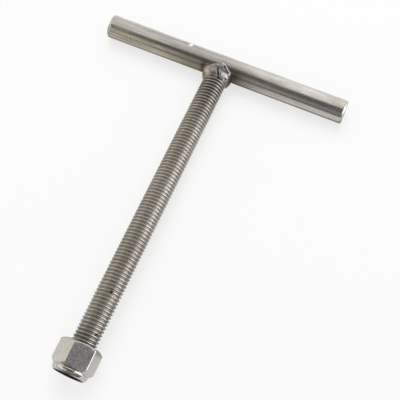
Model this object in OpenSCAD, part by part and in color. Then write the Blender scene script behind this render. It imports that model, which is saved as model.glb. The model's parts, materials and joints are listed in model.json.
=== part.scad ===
// Anchor rod: a threaded rod welded by its end to the side of a round cross bar, with a lock nut and
// its nylon ring on the free end. It lies as it comes to rest, on the bar and on one edge of the nut.

/* [Cross bar] */
// Diameter of the cross bar
bar_d = 12; // [8:0.5:20]
// Length of the cross bar
bar_l = 130; // [80:1:220]
// Chamfer on both ends of the cross bar
bar_chamfer = 0.8; // [0.2:0.1:1.5]
// How far the middle of the cross bar lies to the right of the rod
bar_shift = 1.75; // [0:0.25:15]

/* [Threaded rod] */
// Outer diameter of the thread
thread_d = 12; // [8:0.5:16]
// Pitch of the thread
thread_pitch = 1.75; // [1:0.25:2.5]
// Length from the axis of the cross bar to the free end of the rod
rod_l = 168; // [100:1:300]
// Chamfer on the free end of the rod
rod_chamfer = 1.2; // [0.5:0.1:2]
// Distance from the axis of the cross bar to the welded end of the rod
rod_root = 3; // [1:0.1:3.5]

/* [Weld] */
// Radius of one lump of the weld
weld_r = 3.6; // [2.5:0.1:4.5]
// How far the weld swells past the side of the rod
weld_swell = 1.7; // [0.8:0.1:2.2]
// How much the lumps of the weld differ from one another
weld_uneven = 0.3; // [0:0.05:0.5]
// Number of lumps round the rod
weld_lumps = 10; // [8:1:14]
// How far the lumps sit off the surface of the cross bar
weld_lift = 0.5; // [0.2:0.1:1.5]
// How far the dressed underside of the weld stays above the bottom of the cross bar
weld_dressed = 0.1; // [0.05:0.05:0.5]

/* [Lock nut] */
// Length of the hexagon
hex_h = 11.6; // [9:0.1:16]
// How far the flats of the hexagon stand outside the collar
flat_step = 0.4; // [0.3:0.1:1.5]
// How far the flat bearing face stays inside the flats of the hexagon
bearing_step = 0.4; // [0.2:0.1:0.8]
// Depth of the countersink round the bore in the bearing face
countersink = 0.8; // [0.4:0.1:1.2]
// Height of the straight band of the collar, between the shoulder and the rolled lip
collar_band = 0.6; // [0.2:0.05:2]
// Wall of the collar round the nylon ring
collar_wall = 0.95; // [0.6:0.05:1.5]
// Height of the sloping shoulder between the flats and the collar
shoulder_h = 0.4; // [0.2:0.1:0.8]
// How far the rolled lip reaches in over the nylon ring
lip_hold = 0.35; // [0.2:0.05:0.6]
// Width of the flat edge of the rolled lip
lip_edge = 0.2; // [0.1:0.05:0.4]
// Thickness of the rolled lip
lip_t = 0.6; // [0.5:0.1:1.2]
// How far the nut stands past the free end of the rod
nut_overhang = 3.8; // [0:0.1:8]
// Turn of the nut on the rod: 0 lays it on a flat, 30 lays it on an edge
nut_turn = 20; // [0:1:30]

/* [Nylon ring] */
// Wall of the ring round the thread
ring_wall = 1.45; // [1.2:0.05:2]
// Thickness of the ring
ring_h = 3; // [1.5:0.1:3.5]

/* [Clearances] */
// Gap between the crests of the thread and the bores that run on them
thread_gap = 0.05; // [0.02:0.01:0.1]
// Gap between the ring and its seat in the nut
ring_gap = 0.05; // [0.02:0.01:0.1]

/* [Hidden] */
$fn = 96;
bar_r = bar_d / 2;
thread_r = thread_d / 2;
// A 60 degree thread with a crest of an eighth of the pitch
crest_w = thread_pitch / 8;
thread_depth = 0.6134 * thread_pitch;
flank_w = thread_depth * tan(30);
// Angle between one lump's share of unevenness and the next
uneven_step = 137.5;
// The thread starts where the weld ends
weld_toe = bar_r + weld_lift + weld_r + weld_uneven;
turns = floor((rod_l - rod_chamfer - weld_toe) / thread_pitch);
bore_r = thread_r + thread_gap;
ring_r = bore_r + ring_wall;
ring_seat_r = ring_r + ring_gap;
collar_r = ring_seat_r + collar_wall;
flat_r = collar_r + flat_step;
corner_r = flat_r / cos(30);
bearing_r = flat_r - bearing_step;
// The lip is rolled inwards from the collar until its mouth is narrower than the ring
roll_turn = 62;
mouth_r = ring_seat_r - lip_hold;
rim_r = mouth_r + lip_edge;
lip_round = (collar_r - rim_r) / (1 - cos(roll_turn));
nut_h = hex_h + shoulder_h + collar_band + lip_round * sin(roll_turn);
nut_seat = rod_l + nut_overhang - nut_h;
ring_top = nut_h - lip_t - ring_gap;
ring_bottom = ring_top - ring_h;
// How far cutting shapes run past the faces they cut
past = 1;
// Chamfers on the corners of the hexagon: their angles, and the height of each cone cut
bearing_slope = 30;
collar_slope = 50;
cone_r = corner_r + past;
bearing_cone_h = (cone_r - bearing_r) * tan(bearing_slope);
collar_cone_h = (cone_r - flat_r) * tan(collar_slope);
// Resting pose: the bar and the lowest edge of the nut both touch the ground
edge_at = nut_seat + (corner_r - bearing_r) * tan(bearing_slope);
edge_drop = corner_r * cos(30 - nut_turn);
tilt = atan2(edge_drop, edge_at) - asin(bar_r / norm([edge_at, edge_drop]));
front_y = (nut_seat + nut_h) * cos(tilt) + rim_r * sin(tilt);
mid_y = (front_y - bar_r) / 2;

// Lays the T down: its children have the bar along X and the rod along -Y, both through the origin
module lay_down() {
    translate([-bar_shift, mid_y, bar_r]) rotate([-tilt, 0, 0]) children();
}

// Puts what is drawn along +Z onto the rod's axis, from the axis of the bar outwards
module on_rod(at = 0) {
    translate([0, -at, 0]) rotate([90, 0, 0]) children();
}

module bar_solid() {
    rotate([0, 90, 0])
        rotate_extrude()
            polygon([
                [0, bar_shift - bar_l / 2],
                [bar_r - bar_chamfer, bar_shift - bar_l / 2],
                [bar_r, bar_shift - bar_l / 2 + bar_chamfer],
                [bar_r, bar_shift + bar_l / 2 - bar_chamfer],
                [bar_r - bar_chamfer, bar_shift + bar_l / 2],
                [0, bar_shift + bar_l / 2],
            ]);
}

// Half section of the rod: a plain stretch inside the weld, then one groove for each turn of thread
function rod_section() = concat(
    [[0, rod_root], [thread_r, rod_root]],
    [for (k = [0:turns - 1], p = groove(weld_toe + k * thread_pitch)) p],
    [[thread_r, rod_l - rod_chamfer], [thread_r - rod_chamfer, rod_l], [0, rod_l]]
);

function groove(at) = [
    [thread_r, at],
    [thread_r - thread_depth, at + flank_w],
    [thread_r - thread_depth, at + thread_pitch - crest_w - flank_w],
    [thread_r, at + thread_pitch - crest_w],
];

// Centre of a lump of weld, on the saddle where the rod's side meets the bar
function lump_at(a) =
    let (out = thread_r + weld_swell - weld_r, up = out * cos(a))
    [out * sin(a), -sqrt(max(0, bar_r * bar_r - up * up)) - weld_lift, up];

// Space above the plane to which the underside of the weld is dressed, so that the bar lies flat
module dressed_space() {
    side = 4 * weld_toe;
    translate([-side / 2, -side / 2, weld_dressed - bar_r]) cube(side);
}

module weld_lump(k) {
    size = weld_r + weld_uneven * sin(uneven_step * k);
    translate(lump_at((k + 0.5) * 360 / weld_lumps)) sphere(size, $fn = 48);
}

// Outer form of the nut: chamfered at the bearing face, with a shoulder, a collar and a rolled lip
function nut_section() = concat(
    [
        [0, 0],
        [bearing_r, 0],
        [cone_r, bearing_cone_h],
        [cone_r, hex_h - collar_cone_h],
        [flat_r, hex_h],
        [collar_r, hex_h + shoulder_h],
    ],
    [for (k = [0:8], a = [roll_turn * k / 8]) [
        collar_r - lip_round * (1 - cos(a)),
        nut_h - lip_round * (sin(roll_turn) - sin(a)),
    ]],
    [[0, nut_h]]
);

// Bore of the nut: countersunk mouth, thread bore, seat of the ring, opening of the lip
function nut_bore() = [
    [0, -past],
    [bore_r + countersink + past, -past],
    [bore_r, countersink],
    [bore_r, ring_bottom - ring_gap],
    [ring_seat_r, ring_bottom - ring_gap],
    [ring_seat_r, ring_top + ring_gap],
    [mouth_r, ring_top + ring_gap],
    [mouth_r, nut_h + past],
    [0, nut_h + past],
];

module cross_bar() {
    color("silver") lay_down() bar_solid();
}

module threaded_rod() {
    color("darkgray")
        lay_down()
            difference() {
                on_rod() rotate_extrude() polygon(rod_section());
                bar_solid();
            }
}

module weld_bead() {
    color("dimgray")
        lay_down()
            difference() {
                intersection() {
                    union() {
                        for (k = [0:weld_lumps - 1]) weld_lump(k);
                    }
                    dressed_space();
                }
                bar_solid();
                on_rod(rod_root) cylinder(r = thread_r, h = weld_toe);
            }
}

module lock_nut() {
    color("gainsboro")
        lay_down()
            on_rod(nut_seat)
                difference() {
                    intersection() {
                        rotate_extrude() polygon(nut_section());
                        rotate([0, 0, -nut_turn])
                            translate([0, 0, -past])
                                cylinder(r = corner_r, h = nut_h + 2 * past, $fn = 6);
                    }
                    rotate_extrude() polygon(nut_bore());
                }
}

module nylon_insert() {
    color("black")
        lay_down()
            on_rod(nut_seat + ring_bottom)
                difference() {
                    cylinder(r = ring_r, h = ring_h);
                    translate([0, 0, -past]) cylinder(r = bore_r, h = ring_h + 2 * past);
                }
}

cross_bar();
threaded_rod();
weld_bead();
lock_nut();
nylon_insert();
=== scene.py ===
import json
import math

import bpy
import numpy as np
from mathutils import Matrix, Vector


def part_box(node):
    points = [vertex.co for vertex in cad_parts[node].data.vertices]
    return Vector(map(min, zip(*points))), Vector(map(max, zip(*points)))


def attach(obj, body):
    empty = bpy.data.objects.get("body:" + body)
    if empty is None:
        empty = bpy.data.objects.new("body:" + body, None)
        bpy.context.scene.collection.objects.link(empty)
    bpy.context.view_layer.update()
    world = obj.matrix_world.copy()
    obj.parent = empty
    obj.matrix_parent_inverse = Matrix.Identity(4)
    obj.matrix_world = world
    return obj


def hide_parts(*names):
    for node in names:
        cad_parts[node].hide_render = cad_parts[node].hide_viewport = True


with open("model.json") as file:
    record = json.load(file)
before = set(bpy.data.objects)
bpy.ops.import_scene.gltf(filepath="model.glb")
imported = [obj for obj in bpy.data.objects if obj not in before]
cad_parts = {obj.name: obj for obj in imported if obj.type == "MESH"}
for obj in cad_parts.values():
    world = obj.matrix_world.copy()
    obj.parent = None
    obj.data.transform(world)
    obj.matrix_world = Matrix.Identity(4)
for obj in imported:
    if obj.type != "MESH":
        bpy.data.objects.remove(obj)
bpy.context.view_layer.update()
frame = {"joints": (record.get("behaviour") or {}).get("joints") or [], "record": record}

# The rod's own frame: its origin is where the axes of bar and rod cross, across runs along the bar,
# along runs out to the rod's free end, and up leads off the floor
joints = {joint["name"]: joint for joint in frame["joints"]}
mounts = {mount["name"]: mount for mount in frame["record"]["mounts"]}
barLow, barHigh = (np.array(corner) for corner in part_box("cross_bar"))
barMiddle = (barLow + barHigh) / 2
across = np.array([1.0, 0.0, 0.0])
along = -np.array(joints["nut_turn"]["axis"]) / np.linalg.norm(joints["nut_turn"]["axis"])
up = np.cross(along, across)
crossing = np.array([joints["nut_turn"]["pos_m"][0], barMiddle[1], barMiddle[2]])
bearingFace = np.array(mounts["nut_bearing_face"]["pos_m"])
nutSeat = float((bearingFace - crossing) @ along) * 1000  # mm from the bar's axis
barRadius = (barHigh[2] - barLow[2]) * 500  # mm


def place(x, s, h):
    # millimetres across, along and up the rod's frame, turned into metres in the part's frame
    points = x[..., None] * across + s[..., None] * along + h[..., None] * up
    return crossing + points.reshape(-1, 3) / 1000


def degreesFrom(angle, middle):
    # degrees from the direction middle (degrees) to an angle (radians), -180 to 180
    return np.degrees(np.angle(np.exp(1j * (angle - math.radians(middle)))))


def ramp(value, start, full):
    # 0 at start to 1 at full, held beyond both
    return np.clip((value - start) / (full - start), 0, 1)


def waves(u, v, seed, count, low, high):
    # sum of sine waves in random directions with seeded phases, about -1 to 1; whole turns of u join up
    rng = np.random.default_rng(seed)
    total = np.zeros(np.broadcast(u, v).shape)
    for _ in range(count):
        a = rng.integers(-high, high + 1)
        b = rng.uniform(low, high) * rng.choice([-1, 1])
        total = total + np.sin(a * u + b * v + rng.uniform(0, 2 * math.pi))
    return total / math.sqrt(count)


def gridFaces(rows, cols, wrapRows=False, wrapCols=True):
    # quads between neighbours on a grid; a wrapped direction joins its last line to its first
    i, j = np.meshgrid(np.arange(rows - (not wrapRows)), np.arange(cols - (not wrapCols)), indexing="ij")
    iNext, jNext = (i + 1) % rows, (j + 1) % cols
    quads = np.stack([i * cols + j, i * cols + jNext, iNext * cols + jNext, iNext * cols + j], -1)
    return quads.reshape(-1, 4)


def fanFaces(ring, centre, flip):
    # triangles from a closed ring of points to one centre point
    nextInRing = np.roll(ring, -1)
    fan = np.stack([nextInRing, ring, np.full_like(ring, centre)], -1)
    return fan[:, ::-1] if flip else fan


def makePiece(name, points, faces, sharpAngle=None, **attributes):
    # a mesh object at the origin from whole arrays of points (m) and faces, smooth but for edges sharper
    # than sharpAngle (degrees), with one float per point for each attribute
    mesh = bpy.data.meshes.new(name)
    mesh.from_pydata(points.tolist(), [], [row for block in faces for row in block.tolist()])
    mesh.polygons.foreach_set("use_smooth", np.ones(len(mesh.polygons), bool))
    if sharpAngle:
        mesh.set_sharp_from_angle(angle=math.radians(sharpAngle))
    for key, values in attributes.items():
        layer = mesh.attributes.new(key, "FLOAT", "POINT")
        layer.data.foreach_set("value", values.astype(np.float32).ravel())
    piece = bpy.data.objects.new(name, mesh)
    bpy.context.scene.collection.objects.link(piece)
    print("piece", name, len(mesh.vertices), "points", len(mesh.polygons), "faces")
    return piece


def dress(piece, body, node, material):
    piece.data.materials.append(material)
    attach(piece, body)
    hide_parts(node)


def addNode(tree, kind, inputs=None, **settings):
    # a node with its settings; an input is a plain value or a link from another node
    node = tree.nodes.new(kind)
    for key, value in settings.items():
        setattr(node, key, value)
    for key, value in (inputs or {}).items():
        if isinstance(value, bpy.types.NodeSocket):
            tree.links.new(value, node.inputs[key])
        else:
            node.inputs[key].default_value = value
    return node


def newMaterial(name, **shaderValues):
    material = bpy.data.materials.new(name)
    material.use_nodes = True
    shader = material.node_tree.nodes["Principled BSDF"]
    for key, value in shaderValues.items():
        shader.inputs[key].default_value = value
    return material, material.node_tree, shader


def objectNoise(tree, scale, detail=3.0, roughness=0.55, distortion=0.0):
    # noise on Object coordinates, stretched by three scales in features per metre
    coords = addNode(tree, "ShaderNodeTexCoord")
    mapped = addNode(tree, "ShaderNodeMapping", {"Vector": coords.outputs["Object"], "Scale": scale})
    noise = addNode(tree, "ShaderNodeTexNoise", {
        "Vector": mapped.outputs["Vector"], "Scale": 1.0, "Detail": detail,
        "Roughness": roughness, "Distortion": distortion})
    return noise.outputs["Fac"]


def attribute(tree, name):
    return addNode(tree, "ShaderNodeAttribute", attribute_name=name).outputs["Fac"]


def spread(tree, value, low, high, toLow=0.0, toHigh=1.0):
    # maps low..high to toLow..toHigh, held at both ends
    limits = {"From Min": low, "From Max": high, "To Min": toLow, "To Max": toHigh}
    return addNode(tree, "ShaderNodeMapRange", {"Value": value, **limits}).outputs["Result"]


def calc(tree, operation, a, b):
    return addNode(tree, "ShaderNodeMath", {0: a, 1: b}, operation=operation).outputs["Value"]


def blend(tree, factor, a, b):
    # colour a where factor is 0, b where it is 1; inputs 6 and 7 and output 2 are the node's colours
    return addNode(tree, "ShaderNodeMix", {0: factor, 6: a, 7: b}, data_type="RGBA").outputs[2]


def bump(tree, shader, height, strength, distance):
    node = addNode(tree, "ShaderNodeBump", {"Height": height, "Strength": strength, "Distance": distance})
    tree.links.new(node.outputs["Normal"], shader.inputs["Normal"])


def colour(r, g, b):
    # screen values 0..255 to linear
    channel = np.array([r, g, b]) / 255
    linear = np.where(channel <= 0.04045, channel / 12.92, ((channel + 0.055) / 1.055) ** 2.4)
    return (*linear.tolist(), 1.0)


# Cross bar: a drawn round bar with a hand-dressed chamfer on each end, marked by the heat of the weld with
# painted shade and a painted shadow of the weld near it, and a painted highlight in a nick.
# Angles are degrees up from the side that faces the rod, and pairs are for left and right unless noted
barShape = {
    "sides": 128,
    "rows": 150,  # along the straight part
    "endMargin": 1.5,  # mm at each end left to the chamfer
    "chamfer": (0.3, 0.8),  # mm, least and most
    "chamferTop": (60.0, 85.0),  # angle at which the chamfer is widest
    "chamferRows": (0.0, 0.06, 0.14, 0.5, 0.86, 0.94, 1.0),  # shares of its width, closer at its edges
    "edgeEase": (0.05, 0.08),  # share of its width by which the chamfer's edge is eased, mm along
    "waviness": 0.012,  # mm
    "waveScale": 0.12,  # per mm along, higher is finer
    "nickAt": (-18.6, 124.0),  # mm along the bar, angle
    "nickSize": (0.85, 17.0, 0.4),  # mm along, degrees round, mm deep
    "nickRows": 31,
    "darkPatchAt": (-21.0, 78.0),  # mm along the bar, angle
    "darkPatchSize": (12.0, 14.0),  # mm along, degrees round
    "scorchReach": (25.0, 17.5),  # mm from the rod over which the weld's heat tint and painted shade show
    "heatShadeDepth": (0.5, 0.68),  # how dark the heat tint and painted shade make it
    "heatShadeSide": -20.0,  # angle at the middle of the darkened side
    "heatShadeFade": (145.0, 90.0, 0.06),  # degrees from there where it ends and is full, share left beyond
    "heatShadeBelow": (12.0, -8.0, 0.35),  # angles where it starts to darken and is darkest, how much darker: painted shade underneath
    "burnShadowAt": 8.4,  # mm from the rod's axis to the middle of the dark rim beside the weld, heat tint and painted shadow of the weld
    "burnShadowWidth": (1.9, 3.2),  # mm
    "burnShadowFade": (66.0, 42.0),  # angles where the rim ends and is full, not over the top of the bar
    "sharpAngle": 40.0,
}


def barSteel():
    material, tree, shader = newMaterial("barSteel", Metallic=1.0)
    lines = objectNoise(tree, (22, 800, 800), 4.0, 0.65)
    patches = objectNoise(tree, (90, 210, 210), 4.0, 0.62)
    heatAndShade, burnAndShadow, nick, darkPatch = (attribute(tree, name) for name in ("heatAndShade", "burnAndShadow", "nick", "darkPatch"))
    tone = blend(tree, spread(tree, patches, 0.35, 0.7), colour(204, 201, 197), colour(172, 165, 154))
    tone = blend(tree, spread(tree, lines, 0.4, 0.68), tone, colour(214, 212, 208))
    tone = blend(tree, spread(tree, lines, 0.44, 0.3, 0.0, 0.5), tone, colour(166, 159, 148))
    # a darker cloudy patch high on the left half of the bar
    cloudy = calc(tree, "MULTIPLY", darkPatch, spread(tree, patches, 0.4, 0.62, 0.2, 0.85))
    tone = blend(tree, cloudy, tone, colour(140, 130, 120))
    # heat tint and painted shade near the weld
    tone = blend(tree, heatAndShade, tone, colour(120, 110, 100))
    # dark rim beside the weld: heat tint and painted shadow of the weld
    tone = blend(tree, calc(tree, "MULTIPLY", burnAndShadow, 0.85), tone, colour(78, 73, 66))
    # the nick painted near white and barely metallic: a painted highlight
    tone = blend(tree, nick, tone, colour(250, 248, 245))
    tree.links.new(tone, shader.inputs["Base Color"])
    tree.links.new(spread(tree, nick, 0.0, 1.0, 1.0, 0.1), shader.inputs["Metallic"])
    satin = spread(tree, lines, 0.25, 0.75, 0.14, 0.25)
    satin = calc(tree, "ADD", satin, spread(tree, patches, 0.35, 0.65, 0.0, 0.12))
    satin = calc(tree, "ADD", satin, calc(tree, "MULTIPLY", heatAndShade, 0.16))
    tree.links.new(satin, shader.inputs["Roughness"])
    bump(tree, shader, lines, 0.08, 0.0003)
    return material


def buildBar():
    # circle carried along the bar's axis: its radius falls off over an uneven chamfer at each end, less a
    # small hollow at the nick; angle 0 faces the rod, a quarter turn on faces up
    shape = barShape
    left, right = (barLow[0] - crossing[0]) * 1000, (barHigh[0] - crossing[0]) * 1000
    least, most = shape["chamfer"]
    nickX, nickTurn = shape["nickAt"]
    nickLength, nickWidth, nickDepth = shape["nickSize"]
    angle = np.linspace(0, 2 * math.pi, shape["sides"], endpoint=False)
    leftCut, rightCut = (least + (most - least) * (0.5 + 0.5 * np.cos(angle - math.radians(widest))) ** 2
                         for widest in shape["chamferTop"])
    edge = np.array(shape["chamferRows"])[:, None]
    body = np.linspace(left + shape["endMargin"], right - shape["endMargin"], shape["rows"])
    byNick = nickX + nickLength * np.linspace(-2, 2, shape["nickRows"])
    body = np.unique(np.concatenate([body, byNick]))[:, None]
    body = np.broadcast_to(body, (body.size, angle.size))
    x = np.vstack([left + edge * leftCut, body, right - edge[::-1] * rightCut])
    fromEnd = np.minimum(x - left, right - x)
    cut = np.where(x < 0, leftCut, rightCut)
    easeShare, easeLength = shape["edgeEase"]
    eased = easeShare * cut * np.exp(-((fromEnd - cut) / easeLength) ** 2)
    nick = np.exp(-((x - nickX) / nickLength) ** 4 - (degreesFrom(angle, nickTurn) / nickWidth) ** 4)
    r = barRadius - np.clip(cut - fromEnd, 0, None) - eased - nickDepth * nick
    r = r + shape["waviness"] * waves(angle, x * shape["waveScale"], seed=3, count=7, low=0.4, high=4)
    points = place(x, r * np.cos(angle), r * np.sin(angle))
    ends = place(np.array([left, right]), np.zeros(2), np.zeros(2))

    # heat tint and painted shade near the weld: on the side that faces the rod, darker underneath, fading
    # over the top
    fadeEnd, fadeFull, leftOver = shape["heatShadeFade"]
    belowStart, belowFull, belowMore = shape["heatShadeBelow"]
    fromSide = np.abs(degreesFrom(angle, shape["heatShadeSide"]))
    facing = np.maximum(ramp(fromSide, fadeEnd, fadeFull), leftOver)
    below = 1 + belowMore * ramp(degreesFrom(angle, 0), belowStart, belowFull)
    sided = ("scorchReach", "heatShadeDepth", "burnShadowWidth")
    reach, depth, burnShadowWidth = (np.where(x < 0, *shape[key]) for key in sided)
    heatAndShade = facing * below * depth / (1 + (np.abs(x) / reach) ** 6)
    burnAndShadow = np.exp(-((np.abs(x) - shape["burnShadowAt"]) / burnShadowWidth) ** 2)
    burnAndShadow = burnAndShadow * ramp(np.abs(degreesFrom(angle, 0)), *shape["burnShadowFade"])
    darkPatchX, darkPatchTurn = shape["darkPatchAt"]
    darkPatchLength, darkPatchWidth = shape["darkPatchSize"]
    darkPatchOff = degreesFrom(angle, darkPatchTurn) / darkPatchWidth
    darkPatch = np.exp(-((x - darkPatchX) / darkPatchLength) ** 4 - darkPatchOff ** 2)
    marks = {"heatAndShade": heatAndShade, "burnAndShadow": burnAndShadow, "nick": nick, "darkPatch": darkPatch}
    marks = {name: np.append(values.ravel(), [0, 0]) for name, values in marks.items()}

    rows, cols = r.shape
    first, last = np.arange(cols), (rows - 1) * cols + np.arange(cols)
    caps = [fanFaces(first, rows * cols, True), fanFaces(last, rows * cols + 1, False)]
    faces = [gridFaces(rows, cols)[:, ::-1], *caps]
    piece = makePiece("crossBar", np.vstack([points, ends]), faces, shape["sharpAngle"], **marks)
    dress(piece, "anchor", "cross_bar", barSteel())


# Threaded rod: a rolled right-hand thread along its whole length
threadShape = {
    "radius": 6.0,  # mm, over the crests
    "pitch": 1.75,
    "depth": 0.86,
    "start": 3.6,  # mm from the bar's axis, inside the bar
    "end": 168.0,
    "endChamfer": 1.2,
    "crestShare": 0.21,  # flat crest and flat root as shares of the pitch
    "rootShare": 0.2,
    "cornerEase": 0.06,  # share of the depth by which the corners of the flanks are eased
    "wear": 0.03,  # mm that the crests are worn, more here and less there
    "wearMost": 0.08,
    "wearScale": 0.9,  # per mm along, higher is finer
    "sides": 64,
    "rowsPerTurn": 14,
    # mm along, degrees up from the right, mm to the edge
    "specks": ((131.6, 70.0, 0.8), (151.4, 41.0, 0.8)),  # dark
    "stains": ((154.5, 117.0, 1.2),),  # brown
    "scorchAt": 9.0,  # mm from the bar's axis, where the weld has darkened the grooves most
    "scorchReach": 22.0,  # mm beyond that over which they are dark
    "nutShade": (9.0, 0.6),  # mm of painted shade on the thread before the nut, how dark
    "endMarks": (0.4, 0.35),  # shares of every mark at the middle of the two end faces, darker there
    "sharpAngle": 50.0,
}


def threadProfile(phase, crest, root):
    # 0 on the crest to 1 in the root over one pitch: flat crest and root, straight flanks with eased corners
    fromCrest = np.abs((phase + 0.5) % 1 - 0.5)
    flank = np.clip((fromCrest - crest / 2) / (0.5 - crest / 2 - root / 2), 0, 1)
    return flank - threadShape["cornerEase"] * np.sin(2 * math.pi * flank)


def rodSteel():
    material, tree, shader = newMaterial("rodSteel", Metallic=1.0)
    groove, heatAndShade, speck, stain = (attribute(tree, name) for name in ("groove", "heatAndShade", "speck", "stain"))
    grime = objectNoise(tree, (110, 60, 110), 5.0, 0.65)
    grain = objectNoise(tree, (900, 900, 900), 3.0, 0.6)
    tint = objectNoise(tree, (150, 95, 150), 3.0, 0.6)
    clean = blend(tree, spread(tree, tint, 0.38, 0.62), colour(191, 191, 183), colour(198, 191, 188))
    crest = blend(tree, spread(tree, grime, 0.35, 0.7), clean, colour(172, 165, 157))
    dirty = spread(tree, calc(tree, "ADD", groove, calc(tree, "MULTIPLY", grime, 0.5)), 0.45, 1.15)
    tone = blend(tree, dirty, crest, colour(164, 157, 147))
    # heat tint near the weld and painted shade before the nut, darker in the grooves
    dark = calc(tree, "MULTIPLY", heatAndShade, spread(tree, groove, 0.1, 0.8, 0.25, 0.9))
    tone = blend(tree, dark, tone, colour(92, 84, 79))
    tone = blend(tree, calc(tree, "MULTIPLY", stain, 0.6), tone, colour(138, 120, 84))
    tone = blend(tree, speck, tone, colour(34, 30, 27))
    tree.links.new(tone, shader.inputs["Base Color"])
    dull = calc(tree, "ADD", dirty, calc(tree, "MULTIPLY", grain, 0.3))
    tree.links.new(spread(tree, dull, 0.0, 1.3, 0.29, 0.46), shader.inputs["Roughness"])
    bump(tree, shader, grain, 0.15, 0.0002)
    return material


def spots(s, angle, places, radius):
    # sum of round spots on the rod's side: one within each spot, eased to nothing round it
    total = np.zeros(s.shape)
    for at, middle, size in places:
        off = np.radians(degreesFrom(angle, middle)) * radius
        total = total + np.exp(-(((s - at) ** 2 + off ** 2) / size ** 2) ** 2)
    return total


def buildRod():
    # thread section carried along a helix: grid rows follow the thread, s = start + (row + turn) * pitch,
    # held at both ends; the radius is the crest radius less the section's depth, cut by the end chamfer
    shape = threadShape
    start, end, pitch, radius = (shape[key] for key in ("start", "end", "pitch", "radius"))
    perTurn, cols = shape["rowsPerTurn"], shape["sides"]
    rows = int(math.ceil((end - start) / pitch) + 1) * perTurn + 1
    turn = np.arange(cols) / cols
    row = np.arange(-perTurn, rows - perTurn)[:, None] / perTurn
    free = start + (row + turn) * pitch
    s = np.clip(free, start, end)
    angle = np.broadcast_to(2 * math.pi * turn, s.shape)
    groove = threadProfile(s / pitch - turn, shape["crestShare"], shape["rootShare"])
    wear = waves(angle, s * shape["wearScale"], seed=11, count=9, low=0.5, high=5)
    wear = np.clip(shape["wear"] * wear * (1 - groove), -shape["wearMost"], shape["wear"])
    r = radius - shape["wear"] - shape["depth"] * groove + wear
    r = np.minimum(r, radius - shape["endChamfer"] + (end - s))
    points = place(r * np.cos(angle), s, r * np.sin(angle))
    ends = place(np.zeros(2), np.array([start, end]), np.zeros(2))

    # points held at an end fall together, so each column keeps one of them
    low = np.maximum((free <= start).sum(0) - 1, 0)
    high = rows - (free >= end).sum(0)
    kept = np.clip(np.arange(rows)[:, None], low, high)
    index = np.arange(rows * cols).reshape(rows, cols)[kept, np.arange(cols)]
    # the last column joins the first one turn further along
    nextCol = np.roll(index, -1, axis=1)
    nextCol[:, -1] = np.concatenate([index[perTurn:, 0], np.full(perTurn, index[-1, 0])])
    quads = np.stack([index[:-1], nextCol[:-1], nextCol[1:], index[1:]], -1).reshape(-1, 4)
    triangles = np.concatenate([quads[:, [0, 1, 2]], quads[:, [0, 2, 3]]])
    a, b, c = triangles.T
    triangles = triangles[(a != b) & (b != c) & (a != c)]
    count = len(points)
    faces = [triangles, fanFaces(index[0], count, False), fanFaces(index[-1], count + 1, True)]

    nutShadeReach, nutShadeDepth = shape["nutShade"]
    byWeld = np.exp(-((s - shape["scorchAt"]) / shape["scorchReach"]) ** 2)
    # painted shade on the thread before the nut
    byNut = np.exp(-(np.clip(nutSeat - s, 0, None) / nutShadeReach) ** 2)
    marks = {
        "groove": groove,
        "heatAndShade": np.maximum(byWeld, nutShadeDepth * byNut),
        "speck": spots(s, angle, shape["specks"], radius),
        "stain": spots(s, angle, shape["stains"], radius),
    }

    # points that no face uses are left out
    used, compact = np.unique(np.concatenate([block.ravel() for block in faces]), return_inverse=True)
    cuts = np.cumsum([block.size for block in faces])[:-1]
    faces = [block.reshape(-1, 3) for block in np.split(compact, cuts)]
    points = np.vstack([points, ends])[used]
    marks = {name: np.append(values.ravel(), shape["endMarks"])[used] for name, values in marks.items()}
    piece = makePiece("threadedRod", points, faces, shape["sharpAngle"], **marks)
    dress(piece, "anchor", "threaded_rod", rodSteel())


# Weld: two lobes of weld metal round the foot of the rod, with a crease between them on top.
# Angles are degrees up from the right of the rod, and places along it are mm from the bar's axis
weldShape = {
    "rows": 240,  # round the rod
    "cols": 120,  # round the bead
    "ringRadius": 4.2,  # mm from the rod's axis to the middle of the bead
    "beadRadius": 3.4,
    "lift": 0.5,  # mm off the bar's surface
    "toeReach": 1.55,  # times longer towards the rod's free end
    "toeShort": (26.0, 6.0, 0.22),  # angles where that starts to shorten and is shortest, by how much
    "barShort": (80.0, 100.0, 0.18),  # the same towards the bar
    # angle, mm along, widths of both, mm high or deep
    "lobes": (
        (115, 5.5, 26, 2.6, 0.15), (154, 5.2, 17, 2.4, 1.0), (148, 8.0, 20, 2.0, 0.4),
        (40, 8.0, 22, 2.2, 0.4), (72, 8.4, 13, 2.2, 0.5),
    ),
    "hollows": (
        (62, 4.8, 21, 1.5, 0.95), (42, 9.0, 5, 0.6, 0.4), (100, 7.0, 14, 2.5, 0.3), (84, 3.6, 11, 1.8, 0.35),
    ),
    "crease": (0.9, 5.0),  # mm deep, degrees wide
    "creaseRun": ((6.3, 11.22), (93.0, 64.2)),  # mm along at both of its ends, angles there
    "creaseFade": ((4.84, 6.2), (0.15, 1.0)),  # mm along where it is faint and full, shares there
    "ridge": (0.9, 0.34),  # mm high and wide, along the bar side of the right lobe
    "ridgeRun": ((90.0, 33.0), (1.7, 5.0)),  # angles at both of its ends, mm along there
    "ridgeSpan": (62.0, 29.0, 2.0),  # angle at its middle, degrees to its ends, degrees that they fade over
    "ridgeSide": -0.3,  # cosine round the bead below which the bead faces the rod and has no ridge
    "lobeBlend": 3.0,  # degrees over which the tones of the lobes meet
    "outerRightShade": (34.0, 14.0),  # angles where the outer right side starts to darken and is darkest: painted shade
    "lumps": (0.13, 0.052),  # mm, coarse and fine
    "bottom": -5.88,  # mm, dressed flush with the bar's underside
    "bottomEase": 12.0,  # per mm, higher is sharper
}


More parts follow.
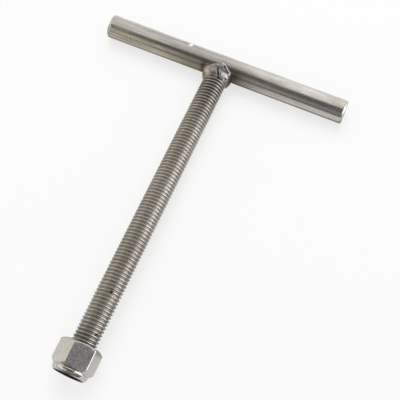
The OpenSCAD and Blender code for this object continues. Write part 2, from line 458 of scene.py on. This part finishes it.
def weldMetal():
    material, tree, shader = newMaterial("weldMetal", Metallic=1.0)
    clouds = objectNoise(tree, (330, 330, 330), 4.0, 0.6)
    pits = objectNoise(tree, (620, 620, 620), 2.0, 0.5)
    cloudy = spread(tree, clouds, 0.35, 0.68)
    left = blend(tree, cloudy, colour(184, 176, 169), colour(136, 126, 122))
    right = blend(tree, cloudy, colour(185, 181, 178), colour(126, 122, 121))
    tone = blend(tree, attribute(tree, "rightLobe"), left, right)
    # painted shade on the outer right side of the weld
    tone = blend(tree, calc(tree, "MULTIPLY", attribute(tree, "outerRightShade"), 0.8), tone, colour(104, 99, 103))
    # painted shade in the hollows
    hollowShade = spread(tree, attribute(tree, "hollow"), 0.08, 0.6, 0.0, 0.85)
    tone = blend(tree, hollowShade, tone, colour(98, 94, 93))
    # painted shade in the crease
    tone = blend(tree, attribute(tree, "crease"), tone, colour(84, 77, 74))
    # the ridge painted near white: a painted highlight
    tone = blend(tree, calc(tree, "MULTIPLY", attribute(tree, "ridge"), 0.8), tone, colour(232, 232, 232))
    tone = blend(tree, spread(tree, pits, 0.64, 0.74), tone, colour(70, 66, 66))
    tree.links.new(tone, shader.inputs["Base Color"])
    tree.links.new(spread(tree, clouds, 0.3, 0.7, 0.28, 0.5), shader.inputs["Roughness"])
    bump(tree, shader, clouds, 0.4, 0.0005)
    return material


def mounds(degrees, s, places):
    # sum of smooth round mounds on the bead
    return sum(high * np.exp(-((degrees - middle) / width) ** 2 - ((s - at) / length) ** 2)
               for middle, at, width, length, high in places)


def buildWeld():
    # ring-shaped bead: a circle, drawn out towards the free end, carried round the rod along the saddle
    # where rod and bar meet; raised by lobes, a ridge and lumps, lowered by hollows and the crease, and held
    # above the dressed bottom
    shape = weldShape
    bead, rows, cols = shape["beadRadius"], shape["rows"], shape["cols"]
    turn = np.linspace(0, 2 * math.pi, rows, endpoint=False)[:, None]
    v = np.linspace(0, 2 * math.pi, cols, endpoint=False)
    degrees = degreesFrom(turn, 90) + 90  # -90 to 270, joined below the rod
    lift = np.sqrt(barRadius ** 2 - (shape["ringRadius"] * np.sin(turn)) ** 2) + shape["lift"]
    toeStart, toeFull, toeLess = shape["toeShort"]
    barStart, barFull, barLess = shape["barShort"]
    toeSide = shape["toeReach"] - toeLess * ramp(degrees, toeStart, toeFull)
    barSide = 1 - barLess * ramp(degrees, barStart, barFull)
    stretch = np.where(np.sin(v) > 0, toeSide, barSide)
    s = lift + bead * stretch * np.sin(v)

    coarse, fine = shape["lumps"]
    rise = coarse * waves(turn, v, seed=21, count=10, low=1.0, high=4)
    rise = rise + fine * waves(turn, v, seed=22, count=14, low=3, high=10)
    hollow = mounds(degrees, s, shape["hollows"])
    rise = rise + mounds(degrees, s, shape["lobes"]) - hollow
    creaseDepth, creaseWidth = shape["crease"]
    creaseAt = np.interp(s, *shape["creaseRun"])
    crease = np.exp(-((degrees - creaseAt) / creaseWidth) ** 2) * np.interp(s, *shape["creaseFade"])
    ridgeHeight, ridgeWidth = shape["ridge"]
    (fromDegrees, toDegrees), (fromAlong, toAlong) = shape["ridgeRun"]
    middle, half, fade = shape["ridgeSpan"]
    ridgeAt = fromAlong + (toAlong - fromAlong) * (degrees - fromDegrees) / (toDegrees - fromDegrees)
    pastEnds = np.exp((np.abs(degrees - middle) - half) / fade)
    ridge = np.exp(-((s - ridgeAt) / ridgeWidth) ** 2) / (1 + pastEnds)
    ridge = ridge * (np.cos(v) > shape["ridgeSide"])
    rise = rise - creaseDepth * crease + ridgeHeight * ridge

    radial = shape["ringRadius"] + (bead + rise) * np.cos(v)
    s = lift + (bead + rise) * stretch * np.sin(v)
    aboveBottom = (radial * np.sin(turn) - shape["bottom"]) * shape["bottomEase"]
    height = shape["bottom"] + np.logaddexp(0, aboveBottom) / shape["bottomEase"]
    points = place(radial * np.cos(turn), s, height)
    marks = {
        "rightLobe": 1 / (1 + np.exp((degrees - creaseAt) / shape["lobeBlend"])),
        "crease": crease,
        "ridge": ridge,
        "outerRightShade": np.broadcast_to(ramp(degrees, *shape["outerRightShade"]), s.shape),
        "hollow": hollow,
    }
    piece = makePiece("weldBead", points, [gridFaces(rows, cols, True, True)[:, ::-1]], **marks)
    dress(piece, "anchor", "weld_bead", weldMetal())


# Lock nut: hexagon with eased corners, chamfered both ends, and a rolled collar that holds the ring.
# Heights are mm from the bearing face
nutShape = {
    "sector": 24,  # points round one sixth
    "cornerCrowd": 0.88,  # how much closer together they are at the corners, 0 to 1
    "flat": 8.9,  # mm from the axis to a flat
    "hexLength": 11.6,
    "length": 14.431,
    "turn": 40.0,  # degrees, first corner up from the bar
    "cornerEase": 85.0,  # higher is sharper
    "edgeEase": (5.0, 12.0),  # the same for the chamfers' edges on the bearing side and on the collar side
    "edgeSplit": 3.0,  # height that parts the two
    "bearingRadius": 8.5,
    "bearingWidth": 0.8,  # mm from the bearing face's rim to the next row in
    "bearingSlope": 30.0,  # degrees
    "collarSlope": 50.0,
    "hexEnds": 0.02,  # mm from the hexagon's ends to its first and last rows
    "hexZones": (1.6, 3.2),  # mm from its ends that hold the chamfers
    "hexRows": (17, 12, 30),  # over the bearing chamfer, the flats and the collar chamfer
    "collarRadius": 8.5,
    "shoulder": 0.4,
    "neck": 0.22,  # mm that the collar narrows behind the shoulder
    "bandEnd": 12.6,  # height where the lip turns in
    "bandRows": 10,
    "lipTurn": 0.72,  # share of the lip's slope that starts at once; the rest is rolled in at its rim
    "lipPowers": (1.35, 6.0),  # how late both parts turn in
    "lipRows": 18,
    "lipCrowd": 1.4,  # above 1 they are closer together where the lip turns in
    "rimRadius": 7.4,
    "rimEase": 0.03,
    "lipThickness": 0.6,
    "mouthRadius": 7.2,
    "mouthEase": 0.04,
    "seatRadius": 7.55,
    "seatBottom": 10.73,
    "seatInner": 6.2,
    "countersink": 0.8,
    "countersinkStart": 0.4,  # share of the countersink at which the rows of the thread start
    "boreRadius": 6.05,
    "boreRows": 84,
    "boreGap": 0.05,  # mm from the seat to the first row of the thread
    "threadClear": 0.09,  # mm off the rod's thread
    "rootClear": 0.02,  # mm more at its root
    "threadSlack": 0.12,  # share of the pitch by which the nut's thread is thinner
    "polishFrom": 0.1,  # mm below the hexagon's end where the smoother collar starts
    "sharpAngle": 32.0,
}


def nutSteel():
    material, tree, shader = newMaterial("nutSteel", Metallic=1.0)
    mottle = objectNoise(tree, (650, 650, 650), 3.0, 0.6)
    scratches = objectNoise(tree, (260, 1700, 900), 3.0, 0.7, 0.6)
    patches = objectNoise(tree, (120, 120, 120), 3.0, 0.5)
    tone = blend(tree, spread(tree, patches, 0.35, 0.7), colour(208, 206, 200), colour(196, 192, 185))
    tone = blend(tree, spread(tree, mottle, 0.4, 0.65, 0.0, 0.35), tone, colour(186, 183, 178))
    tone = blend(tree, spread(tree, scratches, 0.56, 0.72, 0.0, 0.7), tone, colour(218, 216, 217))
    tree.links.new(tone, shader.inputs["Base Color"])
    satin = spread(tree, mottle, 0.36, 0.64, 0.17, 0.27)
    satin = calc(tree, "SUBTRACT", satin, calc(tree, "MULTIPLY", attribute(tree, "collar"), 0.1))
    tree.links.new(satin, shader.inputs["Roughness"])
    bump(tree, shader, scratches, 0.05, 0.0002)
    return material


def buildNut():
    # closed section (height z, radius r) carried round the axis: on the hexagon r is the smooth lesser of
    # the two chamfer cones and an eased hexagon, the collar is round, and the bore follows the rod's thread
    shape, thread = nutShape, threadShape
    corner = np.radians(shape["turn"])
    share = np.arange(shape["sector"]) / shape["sector"]
    share = share - shape["cornerCrowd"] * np.sin(2 * math.pi * share) / (2 * math.pi)
    turn = (np.arange(6)[:, None] + share).ravel() * math.pi / 3 + corner
    flats = corner + math.pi / 6 + np.arange(6)[:, None] * math.pi / 3
    ease = shape["cornerEase"]
    hexagon = shape["flat"] / (np.maximum(np.cos(turn - flats), 0) ** ease).sum(0) ** (1 / ease)

    top, hexEnd, widest = shape["length"], shape["hexLength"], shape["collarRadius"]
    bearing, rim, bandEnd = shape["bearingRadius"], shape["rimRadius"], shape["bandEnd"]
    low, high = shape["hexZones"][0], hexEnd - shape["hexZones"][1]
    steps = ((shape["hexEnds"], low), (low, high), (high, hexEnd - shape["hexEnds"]))
    zones = [np.linspace(*step, count) for step, count in zip(steps, shape["hexRows"])]
    hexZ = np.unique(np.concatenate(zones))
    bearingCone = bearing + hexZ / math.tan(math.radians(shape["bearingSlope"]))
    collarCone = shape["flat"] + (hexEnd - hexZ) / math.tan(math.radians(shape["collarSlope"]))
    hexR = np.minimum(bearingCone, collarCone)
    bandZ = np.linspace(hexEnd + shape["shoulder"], bandEnd, shape["bandRows"])
    bandR = widest - shape["neck"] * ((bandEnd - bandZ) / (bandEnd - bandZ[0])) ** 2
    lip = np.linspace(0, 1, shape["lipRows"] + 1)[1:] ** shape["lipCrowd"]
    early, late = shape["lipPowers"]
    lipZ = bandEnd + (top - bandEnd) * lip
    lipR = widest - (widest - rim) * (shape["lipTurn"] * lip ** early + (1 - shape["lipTurn"]) * lip ** late)
    outerZ = np.concatenate([[0, 0], hexZ, bandZ, lipZ])
    outerR = np.concatenate([[bearing - shape["bearingWidth"], bearing], hexR, bandR, lipR])
    edges = np.where(outerZ < shape["edgeSplit"], *shape["edgeEase"])[:, None]
    outer = -np.log(np.exp(-edges * outerR[:, None]) + np.exp(-edges * hexagon)) / edges
    outer[:2] = outerR[:2, None]
    outer[outerZ > hexEnd] = outerR[outerZ > hexEnd, None]

    mouth, seat, inner = shape["mouthRadius"], shape["seatRadius"], shape["seatInner"]
    under, bottom, eased = top - shape["lipThickness"], shape["seatBottom"], shape["mouthEase"]
    mouthZ = np.array([top, top, top - eased, under + eased, under, under, bottom, bottom])
    mouthR = np.array([
        rim - shape["rimEase"], mouth + eased, mouth, mouth, mouth + eased, seat, seat, inner])
    sink = shape["countersink"]
    boreZ = np.linspace(bottom - shape["boreGap"], sink * shape["countersinkStart"], shape["boreRows"])
    phase = (nutSeat + boreZ[:, None]) / thread["pitch"] - turn / (2 * math.pi)
    slack = shape["threadSlack"]
    groove = threadProfile(phase, thread["crestShare"] + slack, thread["rootShare"] - slack)
    bore = thread["radius"] + shape["threadClear"] - (thread["depth"] - shape["rootClear"]) * groove
    bore = np.maximum(bore, (shape["boreRadius"] + sink - boreZ)[:, None])

    around = np.ones(turn.size)
    radius = np.vstack([outer, mouthR[:, None] * around, bore, (shape["boreRadius"] + sink) * around])
    z = np.concatenate([outerZ, mouthZ, boreZ, [0.0]])[:, None]
    s = np.broadcast_to(nutSeat + z, radius.shape)
    points = place(radius * np.cos(turn), s, radius * np.sin(turn))
    collar = (z > hexEnd - shape["polishFrom"]) | (radius < outer.min())
    faces = gridFaces(*radius.shape, True, True)
    piece = makePiece("lockNut", points, [faces], shape["sharpAngle"], collar=collar)
    dress(piece, "nut", "lock_nut", nutSteel())


# Nylon ring: sits in the nut's collar and grips the thread
ringShape = {
    "inner": 6.06,  # mm, radius
    "outer": 7.5,
    "from": 10.79,  # mm from the nut's bearing face
    "thickness": 2.98,
    "ease": 0.25,
    "easeRows": 5,
    "sides": 96,
    "sharpAngle": 40.0,
}


def ringNylon():
    material, tree, shader = newMaterial("ringNylon", Metallic=0.0)
    mottle = objectNoise(tree, (600, 600, 600), 3.0)
    tone = blend(tree, spread(tree, mottle, 0.3, 0.7), colour(30, 28, 26), colour(46, 43, 39))
    tree.links.new(tone, shader.inputs["Base Color"])
    tree.links.new(spread(tree, mottle, 0.3, 0.7, 0.5, 0.7), shader.inputs["Roughness"])
    return material


def buildRing():
    # rectangle with eased corners carried round the rod's axis
    shape = ringShape
    ease = shape["ease"]
    inside, outside = shape["inner"] + ease, shape["outer"] - ease
    low = nutSeat + shape["from"] + ease
    high = low + shape["thickness"] - 2 * ease
    quarter = np.radians(np.linspace(0, 90, shape["easeRows"]))
    sine, cosine = ease * np.sin(quarter), ease * np.cos(quarter)
    r = np.concatenate([outside + cosine, inside - sine, inside - cosine, outside + sine])[:, None]
    s = np.concatenate([high + sine, high + cosine, low - sine, low - cosine])[:, None]
    turn = np.linspace(0, 2 * math.pi, shape["sides"], endpoint=False)
    points = place(r * np.cos(turn), np.broadcast_to(s, (s.size, turn.size)), r * np.sin(turn))
    faces = gridFaces(r.size, turn.size, True, True)
    piece = makePiece("nylonRing", points, [faces], shape["sharpAngle"])
    dress(piece, "ring", "nylon_insert", ringNylon())


# Floor, light and the cards that the bare metal mirrors
stageSetup = {
    "floorSize": 3.0,  # m from its middle to each side
    "floorShade": 0.86,
    "floorRoughness": 0.9,
    "floorGlow": 0.68,  # share of plain white that the camera sees in the floor
    "skyLight": 0.75,
    "keySize": 0.9,  # m
    "keyPower": 9.0,  # W
    "keyAt": (-0.25, 0.75, 1.25),  # m in the part's frame
}
# centre, half width and half height (m), brightness; only reflections see them
cards = {
    # overhead
    "overCamera": ((0.13, -0.2275, 0.60), (0.27, 0, 0), (0, 0.3125, 0), (0.13, 0.125, 0.12)),
    "overCameraLeft": ((-0.195, -0.275, 0.60), (0.055, 0, 0), (0, 0.265, 0), (0.18, 0.17, 0.16)),
    "overCameraFarLeft": ((-0.375, -0.275, 0.60), (0.125, 0, 0), (0, 0.265, 0), (0.09, 0.085, 0.08)),
    "rightOfTop": ((0.37, -0.03, 0.60), (0.19, 0, 0), (0, 0.11, 0), (0.25, 0.245, 0.285)),
    "rightOfTopBack": ((0.37, 0.27, 0.60), (0.19, 0, 0), (0, 0.19, 0), (0.52, 0.51, 0.54)),
    "backLeft": ((-0.47, 0.45, 0.60), (0.33, 0, 0), (0, 0.34, 0), (0.82, 0.80, 0.77)),
    "backMiddle": ((0.015, 0.60, 0.60), (0.155, 0, 0), (0, 0.40, 0), (1.2, 1.19, 1.18)),
    # upright, all round
    "backRight": ((0.35, 0.90, 0.30), (0.50, 0, 0), (0, 0, 0.29), (1.32, 1.31, 1.3)),
    "backLowLeft": ((-0.515, 0.90, 0.175), (0.385, 0, 0), (0, 0, 0.175), (0.62, 0.61, 0.58)),
    "frontHigh": ((0.405, -0.80, 0.60), (0.595, 0, 0), (0, 0, 0.35), (0.27, 0.265, 0.26)),
    "frontLow": ((0.335, -0.80, 0.125), (0.665, 0, 0), (0, 0, 0.125), (0.11, 0.105, 0.10)),
    "frontLeft": ((-0.345, -0.80, 0.545), (0.155, 0, 0), (0, 0, 0.295), (0.68, 0.63, 0.54)),
    "frontFarLeft": ((-0.725, -0.80, 0.545), (0.225, 0, 0), (0, 0, 0.295), (1.15, 1.08, 0.95)),
    "frontLeftLow": ((-0.64, -0.80, 0.125), (0.31, 0, 0), (0, 0, 0.125), (0.36, 0.33, 0.29)),
    "rightFront": ((1.00, -0.60, 0.45), (0, 0.35, 0), (0, 0, 0.45), (0.22, 0.215, 0.21)),
    "rightNear": ((1.00, -0.015, 0.54), (0, 0.235, 0), (0, 0, 0.52), (2.8, 2.85, 3.0)),
    "rightMiddle": ((1.00, 0.35, 0.54), (0, 0.13, 0), (0, 0, 0.52), (4.1, 4.17, 4.4)),
    "rightFar": ((1.00, 0.69, 0.54), (0, 0.21, 0), (0, 0, 0.52), (2.6, 2.64, 2.77)),
    "leftStrip": ((-1.00, -0.19, 0.50), (0, 0.31, 0), (0, 0, 0.19), (1.3, 1.23, 1.06)),
    "leftLow": ((-1.00, 0.15, 0.15), (0, 0.75, 0), (0, 0, 0.15), (0.86, 0.83, 0.68)),
    # on the floor
    "underBar": ((0.0, 0.08225, 0.0004), (0.20, 0, 0), (0, 0.00775, 0), (0.25, 0.24, 0.22)),
    "besideBar": ((0.1, 0.07175, 0.0004), (0.10, 0, 0), (0, 0.00275, 0), (0.78, 0.77, 0.75)),
    "beforeBar": ((0.1, 0.0555, 0.0004), (0.10, 0, 0), (0, 0.0135, 0), (0.68, 0.67, 0.65)),
    "besideBarLeft": ((-0.1, 0.07175, 0.0004), (0.10, 0, 0), (0, 0.00275, 0), (0.72, 0.68, 0.58)),
    "beforeBarLeft": ((-0.1, 0.0555, 0.0004), (0.10, 0, 0), (0, 0.0135, 0), (0.66, 0.62, 0.52)),
    "darkFront": ((0.135, -0.475, 0.0004), (0.465, 0, 0), (0, 0.305, 0), (0.15, 0.145, 0.14)),
    "darkFrontLeft": ((-0.615, -0.475, 0.0004), (0.285, 0, 0), (0, 0.305, 0), (0.30, 0.28, 0.26)),
    "besideRod": ((0.013, 0.035, 0.0006), (0.007, 0, 0), (0, 0.005, 0), (0.6, 0.59, 0.57)),
    "rightFloor": ((0.041, -0.0225, 0.0006), (0.019, 0, 0), (0, 0.0525, 0), (0.78, 0.77, 0.75)),
    "rightFloorBack": ((0.014, 0.0025, 0.0006), (0.008, 0, 0), (0, 0.0275, 0), (0.66, 0.65, 0.63)),
    "rightFloorFront": ((0.014, -0.05, 0.0006), (0.008, 0, 0), (0, 0.025, 0), (0.45, 0.44, 0.43)),
    "leftFloor": ((-0.091, -0.0175, 0.0006), (0.029, 0, 0), (0, 0.0475, 0), (0.45, 0.43, 0.40)),
    "leftOfRod": ((-0.036, -0.01, 0.0006), (0.026, 0, 0), (0, 0.05, 0), (0.6, 0.58, 0.54)),
    "besideNut": ((0.0, -0.085, 0.0004), (0.05, 0, 0), (0, 0.04, 0), (0.78, 0.78, 0.79)),
}


def flatCard(name, centre, halfWidth, halfHeight, brightness):
    # rectangle: its centre plus or minus two half edges
    signs = np.array([[-1, -1], [1, -1], [1, 1], [-1, 1]])
    points = np.array(centre) + signs[:, :1] * np.array(halfWidth) + signs[:, 1:] * np.array(halfHeight)
    card = makePiece(name, points, [np.array([[0, 1, 2, 3]])])
    material, tree, _ = newMaterial(name)
    glow = addNode(tree, "ShaderNodeEmission", {"Color": (*brightness, 1), "Strength": 1.0})
    tree.links.new(glow.outputs["Emission"], tree.nodes["Material Output"].inputs["Surface"])
    card.data.materials.append(material)
    card.visible_camera = card.visible_diffuse = card.visible_shadow = card.visible_transmission = False


def seenDirectly(tree):
    # 1 for camera, glossy and transmission rays
    path = addNode(tree, "ShaderNodeLightPath").outputs
    seen = calc(tree, "MAXIMUM", path["Is Camera Ray"], path["Is Glossy Ray"])
    return calc(tree, "MAXIMUM", seen, path["Is Transmission Ray"])


def buildStage():
    side = stageSetup["floorSize"]
    corners = np.array([[-side, -side, 0], [side, -side, 0], [side, side, 0], [-side, side, 0]])
    floor = makePiece("floor", corners, [np.array([[0, 1, 2, 3]])])
    material, tree, shader = newMaterial("paleFloor", Roughness=stageSetup["floorRoughness"])
    shader.inputs["Base Color"].default_value = (stageSetup["floorShade"],) * 3 + (1,)
    glow = addNode(tree, "ShaderNodeEmission", {"Color": (1, 1, 1, 1), "Strength": 1.0})
    share = calc(tree, "MULTIPLY", seenDirectly(tree), stageSetup["floorGlow"])
    surfaces = {0: share, 1: shader.outputs["BSDF"], 2: glow.outputs["Emission"]}
    both = addNode(tree, "ShaderNodeMixShader", surfaces)
    tree.links.new(both.outputs["Shader"], tree.nodes["Material Output"].inputs["Surface"])
    floor.data.materials.append(material)

    for name, settings in cards.items():
        flatCard(name, *settings)

    world = bpy.data.worlds.new("paleRoom")
    world.use_nodes = True
    tree = world.node_tree
    sky = tree.nodes["Background"]
    sky.inputs["Color"].default_value = (1, 1, 1, 1)
    sky.inputs["Strength"].default_value = stageSetup["skyLight"]
    white = addNode(tree, "ShaderNodeBackground", {"Color": (1, 1, 1, 1), "Strength": 1.0})
    surfaces = {0: seenDirectly(tree), 1: sky.outputs["Background"], 2: white.outputs["Background"]}
    both = addNode(tree, "ShaderNodeMixShader", surfaces)
    tree.links.new(both.outputs["Shader"], tree.nodes["World Output"].inputs["Surface"])
    bpy.context.scene.world = world

    key = bpy.data.lights.new("softBox", "AREA")
    key.shape, key.size, key.energy = "SQUARE", stageSetup["keySize"], stageSetup["keyPower"]
    lamp = bpy.data.objects.new("softBox", key)
    bpy.context.scene.collection.objects.link(lamp)
    lamp.visible_glossy = False
    pointAt(lamp, stageSetup["keyAt"], (0, 0, 0), (0, 0, 1))
    print("stage built")


# Camera: where the photograph was taken from
cameraSetup = {
    "eye": (74.9, 202.11, 333.45),  # mm across, along and up the rod's frame
    "aim": (19.39, 72.83, 0.02),
    "roll": 0.413,  # degrees
    "lens": 68.198,  # mm
    "sensor": 36.0,  # mm
    "nearest": 0.01,  # m
}


def pointAt(item, eye, aim, upright, roll=0.0):
    # turns an item's -Z from eye towards aim, its X level with upright, then rolled
    eye, aim = np.array(eye), np.array(aim)
    forward = (aim - eye) / np.linalg.norm(aim - eye)
    level = np.cross(forward, upright)
    level /= np.linalg.norm(level)
    tilt = math.radians(roll)
    right = level * math.cos(tilt) + np.cross(level, forward) * math.sin(tilt)
    columns = np.column_stack([right, np.cross(right, forward), -forward, eye])
    item.matrix_world = Matrix(np.vstack([columns, [0, 0, 0, 1]]).tolist())


def buildCamera():
    lens = bpy.data.cameras.new("camera")
    lens.lens, lens.sensor_width = cameraSetup["lens"], cameraSetup["sensor"]
    lens.clip_start = cameraSetup["nearest"]
    camera = bpy.data.objects.new("camera", lens)
    bpy.context.scene.collection.objects.link(camera)
    eye, aim = place(*np.array([cameraSetup["eye"], cameraSetup["aim"]]).T)
    pointAt(camera, eye, aim, up, cameraSetup["roll"])
    bpy.context.scene.camera = camera
    print("camera placed")


buildBar()
buildRod()
buildWeld()
buildNut()
buildRing()
buildStage()
buildCamera()
bpy.context.scene.view_settings.view_transform = "Standard"
